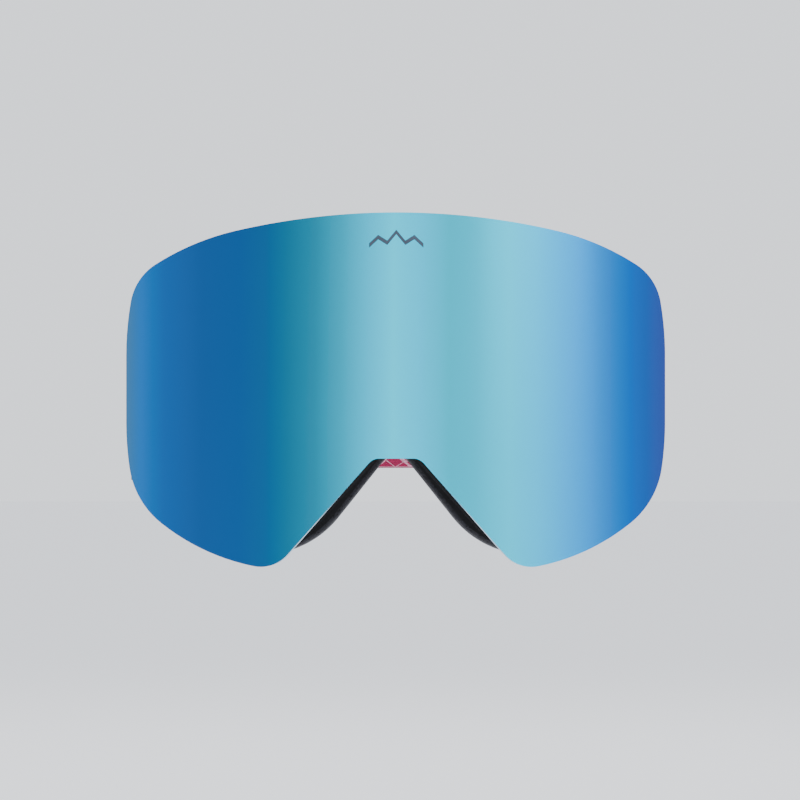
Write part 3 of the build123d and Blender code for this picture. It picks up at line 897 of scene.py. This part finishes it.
@dataclass
class OuterLens:
    """The mirrored lens: a smooth curved sheet with a polished edge and a printed mark.

    Attributes:
        palette: the finishes.
        strip: width of the upright strips that the sheet is divided in.
        row: height of its rows.
        edge_round: rounding of its edges.
        mark_width: width of the printed mark.
        mark_height: height of its tallest peak.
        mark_stroke: width of its line.
        mark_from_top: from the lens's top to the mark's middle.
        mark_proud: how far the print stands out of the lens.
    """

    palette: Palette
    strip: float = 1.6 * MM
    row: float = 8.0 * MM
    edge_round: float = 0.35 * MM
    mark_width: float = 17.6 * MM
    mark_height: float = 4.4 * MM
    mark_stroke: float = 1.3 * MM
    mark_from_top: float = 8.6 * MM
    mark_proud: float = 0.06 * MM

    def build(self) -> None:
        """Makes the lens and its mark, which ride on the lens body."""
        self.low, self.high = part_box("outer_lens")
        self.front = Drum.front_of("outer_lens")
        self.thickness = self.front.radius - min(
            self.front.distance(v.co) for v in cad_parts["outer_lens"].data.vertices
        )
        self._sheet()
        self._mark()

    def _flat_outline(self) -> Mesh:
        """The front of the CAD lens as one flat face in X and Z.

        Returns:
            One face in the plane Y = 0.
        """
        bm = node_copy("outer_lens")
        limit = self.front.radius - 0.3 * self.thickness
        behind = [f for f in bm.faces if min(self.front.distance(v.co) for v in f.verts) < limit]
        bmesh.ops.delete(bm, geom=behind, context="FACES")
        for vertex in bm.verts:
            vertex.co.y = 0.0
        bmesh.ops.dissolve_faces(bm, faces=bm.faces[:], use_verts=False)
        return bm

    def _sheet(self) -> None:
        """Divides the outline into strips, bends it on its cylinder, thickens it and rounds its edges."""
        bm = self._flat_outline()
        for axis, step in ((0, self.strip), (2, self.row)):
            normal = Vector([float(i == axis) for i in range(3)])
            low, length = self.low[axis], self.high[axis] - self.low[axis]
            count = math.ceil(length / step)
            for i in range(1, count):
                place = normal * (low + length * i / count)
                whole = bm.verts[:] + bm.edges[:] + bm.faces[:]
                bmesh.ops.bisect_plane(bm, geom=whole, plane_co=place, plane_no=normal, dist=1e-7)
        for vertex in bm.verts:
            vertex.co.y = self.front.y_at(vertex.co.x)
        face_forward(bm)
        bmesh.ops.solidify(bm, geom=bm.faces[:], thickness=self.thickness)
        bevel_edges(bm, sharp_edges(bm, 55), self.edge_round)
        for face in bm.faces:
            far = [self.front.distance(v.co) for v in face.verts]
            on_front = min(far) > self.front.radius - 2 * SKIN
            on_back = max(far) < self.front.radius - self.thickness + 2 * SKIN
            face.material_index = 0 if on_front else 2 if on_back else 1
        finishes = [self.palette[name] for name in ("mirror", "lens_edge", "lens_back")]
        piece = to_object(bm, "mirror_lens", finishes)
        even_normals(piece)
        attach(piece, "lens")
        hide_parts("outer_lens")
        LOG.info("mirror_lens: radius %.4f, thickness %.4f", self.front.radius, self.thickness)

    def _mark(self) -> None:
        """A generic row of peaks printed near the top of the lens."""
        heights = (0.0, 0.62, 0.2, 1.0, 0.2, 0.62, 0.0)
        centre_z = self.high.z - self.mark_from_top
        half = self.mark_stroke / 2
        bm = bmesh.new()
        line = []
        for i, height in enumerate(heights):
            x = self.mark_width * (i / (len(heights) - 1) - 0.5)
            z = centre_z + self.mark_height * (height - 0.5)
            line.append(bm.verts.new((x, 0, z - half)))
        edges = [bm.edges.new(pair) for pair in zip(line, line[1:])]
        risen = bmesh.ops.extrude_edge_only(bm, edges=edges)
        top = [v for v in risen["geom"] if isinstance(v, bmesh.types.BMVert)]
        bmesh.ops.translate(bm, verts=top, vec=(0, 0, 2.2 * half))
        bmesh.ops.subdivide_edges(bm, edges=bm.edges[:], cuts=3, use_grid_fill=True)
        face_forward(bm)
        shell = Drum(self.front.radius + self.mark_proud, self.front.axis_y)
        for vertex in bm.verts:
            vertex.co.y = shell.y_at(vertex.co.x)
        bmesh.ops.solidify(bm, geom=bm.faces[:], thickness=0.8 * self.mark_proud)
        piece = to_object(bm, "lens_peak_mark", [self.palette["print"]])
        even_normals(piece)
        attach(piece, "lens")
        LOG.info("lens_peak_mark")


@dataclass
class FoamLayer:
    """One glued layer of face foam, with soft edges and sides that bulge between its glue lines.

    Attributes:
        node: the CAD node that it replaces.
        name: the piece's name.
        finish: its finish.
        voxel: how finely its surface is divided.
        rounding: how many smoothing passes soften its edges.
        bulge: how far its sides stand out at mid-height.
        fill: how firm it is; not used.
    """

    node: str
    name: str
    finish: str
    voxel: float = 1.0 * MM
    rounding: int = 5
    bulge: float = 0.45 * MM
    fill: float = 0.7

    def build(self, palette: Palette, face: Drum) -> None:
        """Makes the layer, whose height is measured from the cylinder of the fleece's surface.

        Args:
            palette: the finishes.
            face: the cylinder of the fleece's surface.
        """
        piece = to_object(node_copy(self.node), self.name, [palette[self.finish]])
        remesh = piece.modifiers.new("EvenSkin", "REMESH")
        remesh.mode = "VOXEL"
        remesh.voxel_size = self.voxel
        remesh.adaptivity = 0.0
        remesh.use_smooth_shade = True
        apply_modifiers(piece)
        bm = bmesh.new()
        bm.from_mesh(piece.data)
        heights = [face.distance(v.co) for v in bm.verts]
        low, high = min(heights), max(heights)
        for _ in range(self.rounding):
            bmesh.ops.smooth_vert(
                bm, verts=bm.verts, factor=0.5, use_axis_x=True, use_axis_y=True, use_axis_z=True
            )
        bm.normal_update()
        for vertex in bm.verts:
            height = (face.distance(vertex.co) - low) / (high - low)
            crown = max(0.0, 1.0 - (2.0 * height - 1.0) ** 2)
            vertex.co += vertex.normal * self.bulge * crown
        bm.to_mesh(piece.data)
        bm.free()
        piece.data.shade_smooth()
        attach(piece, "frame")
        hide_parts(self.node)
        LOG.info("%s: %d faces", self.name, len(piece.data.polygons))


def apply_modifiers(piece: bpy.types.Object) -> None:
    """Bakes a piece's modifiers into its mesh.

    Args:
        piece: the piece.
    """
    graph = bpy.context.evaluated_depsgraph_get()
    graph.update()
    baked = bpy.data.meshes.new_from_object(piece.evaluated_get(graph))
    old = piece.data
    piece.modifiers.clear()
    piece.data = baked
    bpy.data.meshes.remove(old)


@dataclass
class FaceFoam:
    """The three foam layers.

    Attributes:
        palette: the finishes.
        middle_half: how far from X = 0 a corner still counts as the middle.
    """

    palette: Palette
    middle_half: float = 3.0 * MM

    def build(self) -> None:
        """Makes each layer, which ride on the frame."""
        _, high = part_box("face_fleece")
        corners = [v.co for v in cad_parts["face_fleece"].data.vertices]
        rear_middle = max(co.y for co in corners if abs(co.x) < self.middle_half)
        rear_side = max(co.y for co in corners if co.x > high.x - SKIN)
        face = Drum.through(rear_middle, high.x, rear_side)
        layers = (
            FoamLayer("foam_base", "foam_base_layer", "foam_firm", fill=0.9, bulge=0.3 * MM),
            FoamLayer("foam_comfort", "foam_comfort_layer", "foam_soft", fill=0.6, bulge=0.55 * MM),
            FoamLayer("face_fleece", "fleece_layer", "fleece", fill=0.5, bulge=0.35 * MM, voxel=0.75 * MM),
        )
        for layer in layers:
            layer.build(self.palette, face)


@dataclass
class Strap:
    """The elastic strap: one length of webbing from sewn tail to sewn tail, its stitches and its silicone.

    Attributes:
        palette: the finishes.
        step: length of webbing between two cross-sections.
        edge_round: rounding of the selvedges.
        fold_radius: of the webbing's middle round a clip's bar.
        fold_reach: from the bar to where the two layers lie together.
        temple_radius: of the webbing's first bend.
        temple_turn: how far the first bend turns.
        stretch_from: where the webbing starts to follow the stretch; not used.
        stretch_to: where it follows it fully; not used.
    """

    palette: Palette
    step: float = 0.7 * MM
    edge_round: float = 0.4 * MM
    fold_radius: float = 2.1 * MM
    fold_reach: float = 11.5 * MM
    temple_radius: float = 100.0 * MM
    temple_turn: float = math.radians(20.0)
    stretch_from: float = 46.0 * MM
    stretch_to: float = 106.0 * MM

    def build(self) -> None:
        """Makes the webbing, the stitches and the silicone lines."""
        band_low, band_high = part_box("strap_band")
        tail_low, tail_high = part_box("strap_tail_right")
        fold_low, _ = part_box("strap_fold_right")
        self.thickness = tail_high.x - tail_low.x
        self.width = band_high.z - band_low.z
        self.mid_z = (band_high.z + band_low.z) / 2
        self.outer_x = band_high.x - self.thickness / 2
        self.inner_x = (tail_low.x + tail_high.x) / 2
        bar_y = fold_low.y + self.thickness / 2 + self.fold_radius
        self.bar = Vector(((self.outer_x + self.inner_x) / 2, bar_y, 0))
        self.lap_to = tail_high.y
        turn = math.cos(self.temple_turn)
        self.back_radius = (self.outer_x - self.temple_radius * (1 - turn)) / turn
        self.back_y = self.lap_to + (self.temple_radius - self.back_radius) * math.sin(self.temple_turn)
        self._webbing(self._path())
        self._stitches()
        self._silicone()

    def _path(self) -> list[Vector]:
        """Points along the middle of the webbing, from the right tail round both clips to the left tail.

        Returns:
            The points, a step apart, in X and Y.
        """
        half_gap = (self.outer_x - self.inner_x) / 2
        reach = math.hypot(half_gap, self.fold_reach)
        wrap = math.atan2(half_gap, self.fold_reach) + math.acos(self.fold_radius / reach)
        bar, joined_y = self.bar, self.bar.y + self.fold_reach
        turns, bends, back = 24, 24, 90
        right = [Vector((self.inner_x, self.lap_to, 0)), Vector((self.inner_x, joined_y, 0))]
        for i in range(turns + 1):
            angle = wrap + (2 * math.pi - 2 * wrap) * i / turns
            right.append(bar + self.fold_radius * Vector((-math.sin(angle), math.cos(angle), 0)))
        right += [Vector((self.outer_x, joined_y, 0)), Vector((self.outer_x, self.lap_to, 0))]
        temple = Vector((self.outer_x - self.temple_radius, self.lap_to, 0))
        head = Vector((0, self.back_y, 0))
        for i in range(1, bends + 1):
            angle = self.temple_turn * i / bends
            right.append(temple + self.temple_radius * Vector((math.cos(angle), math.sin(angle), 0)))
        for i in range(1, back + 1):
            angle = self.temple_turn + (math.pi / 2 - self.temple_turn) * i / back
            right.append(head + self.back_radius * Vector((math.cos(angle), math.sin(angle), 0)))
        left = [Vector((-p.x, p.y, 0)) for p in reversed(right[:-1])]
        return self._even(right + left)

    def _even(self, corners: list[Vector]) -> list[Vector]:
        """Spaces points about one step apart along a line of corners.

        Args:
            corners: the line.

        Returns:
            The points.
        """
        lengths = [0.0]
        for a, b in zip(corners, corners[1:]):
            lengths.append(lengths[-1] + (b - a).length)
        count = round(lengths[-1] / self.step)
        self.length = lengths[-1]
        points, k = [], 0
        for i in range(count + 1):
            at = lengths[-1] * i / count
            while k < len(corners) - 2 and lengths[k + 1] < at:
                k += 1
            share = (at - lengths[k]) / (lengths[k + 1] - lengths[k])
            points.append(corners[k].lerp(corners[k + 1], share))
        return points

    def _webbing(self, path: list[Vector]) -> None:
        """Bends a flat strip of webbing along its path, which runs along its middle.

        Args:
            path: points along its middle.
        """
        count = len(path) - 1
        bm = bmesh.new()
        bmesh.ops.create_grid(bm, x_segments=count, y_segments=12, size=0.5)
        bmesh.ops.scale(bm, vec=(self.length, self.width, 1), verts=bm.verts)
        bmesh.ops.solidify(bm, geom=bm.faces[:], thickness=self.thickness)
        middle = sum(v.co.z for v in bm.verts) / len(bm.verts)
        bmesh.ops.translate(bm, verts=bm.verts, vec=(0, 0, -middle))
        bmesh.ops.recalc_face_normals(bm, faces=bm.faces)
        bevel_edges(bm, sharp_edges(bm, 60), self.edge_round, 2)
        uv = bm.loops.layers.uv.new("StrapUV")
        for face in bm.faces:
            for loop in face.loops:
                loop[uv].uv = (loop.vert.co.x, loop.vert.co.y)
        for vertex in bm.verts:
            at = (vertex.co.x / self.length + 0.5) * count
            i = min(count - 1, max(0, int(at)))
            place = path[i].lerp(path[i + 1], at - i)
            before, after = path[max(0, i - 1)], path[min(count, i + 2)]
            ahead = (after - before).normalized()
            out = Vector((-ahead.y, ahead.x, 0))
            across = vertex.co.y
            vertex.co = place + out * vertex.co.z + Vector((0, 0, self.mid_z + across))
        bmesh.ops.recalc_face_normals(bm, faces=bm.faces)
        piece = to_object(bm, "strap_webbing", [self.palette["webbing"]])
        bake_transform(piece)
        names = [f"strap_{part}_{side.label}" for part in ("fold", "span", "tail") for side in Side]
        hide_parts("strap_band", *names)
        LOG.info("strap_webbing: %.3f m long, %d faces", self.length, len(piece.data.polygons))

    def _stitches(self) -> None:
        """Two rows of stitches across each lap's end, seen on both faces."""
        pitch, long, thick, margin = 3.0 * MM, 2.3 * MM, 0.28 * MM, 2.0 * MM
        from_end, between_rows = 3.0 * MM, 2.6 * MM
        count = int((self.width - 2 * margin) / pitch)
        for side in Side:
            bm = bmesh.new()
            faces_x = (self.outer_x + self.thickness / 2, self.inner_x - self.thickness / 2)
            for row in range(2):
                for x in faces_x:
                    for i in range(count):
                        z = self.mid_z + pitch * (i - (count - 1) / 2)
                        y = self.lap_to - (from_end + between_rows * row)
                        place = Matrix.Translation((side.value * x, y, z))
                        shape = place @ Matrix.Diagonal((thick, thick, long / 2, 1.0))
                        bmesh.ops.create_uvsphere(bm, u_segments=8, v_segments=6, radius=1.0, matrix=shape)
            bmesh.ops.recalc_face_normals(bm, faces=bm.faces)
            piece = to_object(bm, f"lap_stitches_{side.label}", [self.palette["thread"]])
            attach(piece, "strap")
        LOG.info("lap stitches")

    def _silicone(self) -> None:
        """Rounded lines of silicone inside the back of the strap."""
        low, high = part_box("silicone_grip")
        lines, pitch, half_width, depth = 3, 8.0 * MM, 1.0 * MM, 0.4 * MM
        inner = self.back_radius - self.thickness / 2
        half_turn = math.asin(high.x / inner)
        bm = bmesh.new()
        for i in range(lines):
            z = (low.z + high.z) / 2 + pitch * (i - (lines - 1) / 2)
            ring = bmesh.ops.create_circle(bm, cap_ends=False, radius=1.0, segments=14)["verts"]
            for vertex in ring:
                across, out = vertex.co.x, vertex.co.y
                vertex.co = Vector((0, self.back_y + inner - depth * max(0.0, out), z + half_width * across))
            start = Matrix.Rotation(half_turn, 3, "Z")
            bmesh.ops.rotate(bm, verts=ring, cent=(0, self.back_y, 0), matrix=start)
            profile = list({edge for vertex in ring for edge in vertex.link_edges})
            bmesh.ops.spin(
                bm,
                geom=ring + profile,
                cent=(0, self.back_y, 0),
                axis=(0, 0, 1),
                angle=-2 * half_turn,
                steps=90,
                use_merge=False,
            )
        bmesh.ops.remove_doubles(bm, verts=bm.verts, dist=WELD)
        ends = [edge for edge in bm.edges if edge.is_boundary]
        bmesh.ops.holes_fill(bm, edges=ends, sides=0)
        bmesh.ops.recalc_face_normals(bm, faces=bm.faces)
        piece = to_object(bm, "silicone_lines", [self.palette["silicone"]])
        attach(piece, "strap")
        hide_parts("silicone_grip")
        LOG.info("silicone_lines")


@dataclass
class Hardware:
    """Moulded and turned pieces whose CAD shape is right, and which only need rounded edges.

    Attributes:
        palette: the finishes.
        clip_border: width of the raised border round a clip's panel.
        panel_end: from the panel to the clip's rear end.
        pin_border: width of the raised rim of a pin's head.
        sink: how far a panel or a head's middle is sunk.
        least_face: the least area of a face that is sunk.
        least_facing: the least part of X in such a face's normal.
        sharp: the least turn of an edge that is rounded, in degrees.
        edge_round: rounding of every sharp edge.
    """

    palette: Palette
    clip_border: float = 1.3 * MM
    panel_end: float = 13.0 * MM
    pin_border: float = 0.9 * MM
    sink: float = 0.5 * MM
    least_face: float = 20.0 * MM * MM
    least_facing: float = 0.9
    sharp: float = 40.0
    edge_round: float = 0.3 * MM

    def build(self) -> None:
        """Makes a rounded copy of each clip, slider and pin, of the frame and of the carrier."""
        _, clip_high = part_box("strap_clip_right")
        for side in Side:
            at = side.label
            clip = self._copy("strap_clip_right")
            self._sink(clip, self.clip_border, clip_high.y - self.panel_end)
            pin = self._copy("pivot_pin_right")
            self._sink(pin, self.pin_border, clip_high.y)
            slider = self._copy("strap_slider_left")
            for bm in (clip, pin) if side is Side.LEFT else (slider,):
                bmesh.ops.scale(bm, vec=(-1, 1, 1), verts=bm.verts)
                bmesh.ops.reverse_faces(bm, faces=bm.faces)
            for bm, node, name, body, finishes, slot in (
                (clip, "strap_clip", "swivel_clip", "strap_mounts", ("clip", "panel"), "clip_plastic"),
                (pin, "pivot_pin", "clip_rivet", "frame", ("pin", "pin"), "pin_metal"),
                (slider, "strap_slider", "lap_slider", f"slider_{at}", ("slider",), "slider_plastic"),
            ):
                self._finish(bm, f"{node}_{at}", f"{name}_{at}", body, finishes)
        for node, name, body, finish, slot in (
            ("face_frame", "frame_moulding", "frame", "frame", "frame_moulding"),
            ("lens_carrier", "carrier_ring", "lens", "carrier", "carrier_plastic"),
        ):
            self._finish(self._copy(node), node, name, body, (finish,))

    @staticmethod
    def _copy(node: str) -> Mesh:
        """Copies a node's mesh and joins the triangles of each flat face.

        Args:
            node: the CAD node.

        Returns:
            Its mesh.
        """
        bm = node_copy(node)
        bmesh.ops.dissolve_limit(
            bm, angle_limit=FLAT_TURN, verts=bm.verts, edges=bm.edges, use_dissolve_boundaries=False
        )
        return bm

    def _sink(self, bm: Mesh, border: float, rear: float) -> None:
        """Sinks the middle of the large outer faces of a right piece, inside a raised border.

        Args:
            bm: the mesh.
            border: width of the border.
            rear: the Y that a sunk face doesn't reach.
        """
        outer = [
            face
            for face in bm.faces
            if face.normal.x > self.least_facing
            and face.calc_area() > self.least_face
            and max(vertex.co.y for vertex in face.verts) < rear
        ]
        bmesh.ops.inset_region(
            bm, faces=outer, thickness=border, depth=-self.sink, use_even_offset=True, use_boundary=True
        )
        for face in outer:
            face.material_index = 1

    def _finish(
        self, bm: Mesh, node: str, name: str, body: str, finishes: tuple[str, ...]
    ) -> None:
        """Makes the piece and rounds its sharp edges.

        Args:
            bm: its mesh.
            node: the CAD node that it replaces.
            name: what the piece is called.
            body: the body that it rides on.
            finishes: its finishes, in the order of the faces' indices.
        """
        piece = to_object(bm, name, [self.palette[finish] for finish in finishes])
        bevel = piece.modifiers.new("RoundEdges", "BEVEL")
        bevel.width = self.edge_round
        bevel.segments = 3
        bevel.limit_method = "ANGLE"
        bevel.angle_limit = math.radians(self.sharp)
        bevel.harden_normals = False
        even_normals(piece)
        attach(piece, body)
        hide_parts(node)
        LOG.info("%s", name)


@dataclass
class CadFinishes:
    """The finishes of the CAD nodes that show as they are.

    Attributes:
        palette: the finishes.
        nodes: node to finish.
    """

    palette: Palette
    nodes: dict[str, str] = field(
        default_factory=lambda: {
            "frame_magnets": "magnet",
            "lens_magnets": "magnet",
            "lens_spacer": "spacer",
            "inner_lens": "inner_lens",
            "breather_plug": "membrane",
            "top_vent_screen": "screen",
            **{f"lower_vent_screen_{side.label}": "screen" for side in Side},
            **{f"pivot_washer_{side.label}": "washer" for side in Side},
        }
    )

    def build(self) -> None:
        """Gives each node its material."""
        for node, finish in self.nodes.items():
            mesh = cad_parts[node].data
            mesh.materials.clear()
            mesh.materials.append(self.palette[finish])
        LOG.info("%d CAD nodes dressed", len(self.nodes))


# Studio


@dataclass
class Studio:
    """A pale floor, soft lights and the camera.

    Attributes:
        distance: from the camera to the lens.
        azimuth: how far the camera stands to the side, in degrees.
        elevation: how far it stands up, in degrees.
        lens_share: share of the picture's width that the lens fills.
        aim_right: how far right of the lens's middle the camera aims.
        aim_down: how far below it.
        floor_drop: from the goggles down to the floor, which leaves room for the strap to swing down.
        floor_radius: of the round floor.
        world_strength: brightness of the surrounding light.
        sensor_width: of the camera, in millimetres.
        clip_from: the nearest that the camera sees.
        clip_to: the farthest.
    """

    distance: float = 5.0
    azimuth: float = -0.3
    elevation: float = 0.14
    lens_share: float = 0.679
    aim_right: float = 1.2 * MM
    aim_down: float = 3.3 * MM
    floor_drop: float = 105.0 * MM
    floor_radius: float = 14.0
    world_strength: float = 1.55
    sensor_width: float = 36.0
    clip_from: float = 0.05
    clip_to: float = 50.0

    def build(self) -> None:
        """Makes the floor, lights, world and camera."""
        self._floor()
        self._lights()
        self._world()
        self._camera()

    def _floor(self) -> None:
        """A round floor that runs past the farthest camera."""
        low, _ = CAD_BOX
        bm = bmesh.new()
        place = Matrix.Translation((0, 0, low.z - self.floor_drop))
        bmesh.ops.create_circle(bm, cap_ends=True, radius=self.floor_radius, segments=96, matrix=place)
        material = bpy.data.materials.new("PaleFloor")
        material.use_nodes = True
        shader = material.node_tree.nodes["Principled BSDF"]
        shader.inputs["Base Color"].default_value = srgb(248, 248, 250)
        shader.inputs["Roughness"].default_value = 0.9
        to_object(bm, "floor", [material])

    def _lights(self) -> None:
        """Soft boxes: a key, a fill and one behind."""
        for name, place, size, power in (
            ("key_light", (-1.3, -1.9, 1.7), 1.6, 26.0),
            ("fill_light", (1.7, -1.6, 0.9), 1.8, 12.0),
            ("back_light", (0.3, 1.9, 1.9), 1.6, 16.0),
        ):
            light = bpy.data.lights.new(name, "AREA")
            light.energy = power
            light.size = size
            lamp = bpy.data.objects.new(name, light)
            lamp.location = place
            lamp.rotation_euler = (Vector((0, 0.05, 0)) - Vector(place)).to_track_quat("-Z", "Y").to_euler()
            bpy.context.scene.collection.objects.link(lamp)

    def _world(self) -> None:
        """A plain pale surrounding light."""
        world = bpy.data.worlds.new("SoftStudio")
        world.use_nodes = True
        background = world.node_tree.nodes["Background"]
        background.inputs["Color"].default_value = srgb(236, 240, 246)
        background.inputs["Strength"].default_value = self.world_strength
        bpy.context.scene.world = world

    def _camera(self) -> None:
        """A long lens in front of the goggles, a little to one side."""
        low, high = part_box("outer_lens")
        target = Vector((self.aim_right, low.y, -self.aim_down))
        azimuth, elevation = math.radians(self.azimuth), math.radians(self.elevation)
        level = math.cos(elevation)
        back = Vector((math.sin(azimuth) * level, -math.cos(azimuth) * level, math.sin(elevation)))
        camera = bpy.data.cameras.new("camera")
        seen = (high.x - low.x) / self.lens_share
        camera.sensor_width = self.sensor_width
        camera.lens = camera.sensor_width * self.distance / seen
        body = bpy.data.objects.new("camera", camera)
        body.location = target + back * self.distance
        body.rotation_euler = (-back).to_track_quat("-Z", "Y").to_euler()
        camera.clip_start, camera.clip_end = self.clip_from, self.clip_to
        bpy.context.scene.collection.objects.link(body)
        bpy.context.scene.camera = body


def main() -> None:
    """Builds every piece in order."""
    logging.basicConfig(level=logging.INFO, format="%(name)s: %(message)s")
    Studio().build()
    palette = Palette()
    palette.build()
    CadFinishes(palette).build()
    OuterLens(palette).build()
    FaceFoam(palette).build()
    Strap(palette).build()
    Hardware(palette).build()


if __name__ == "__main__":
    main()
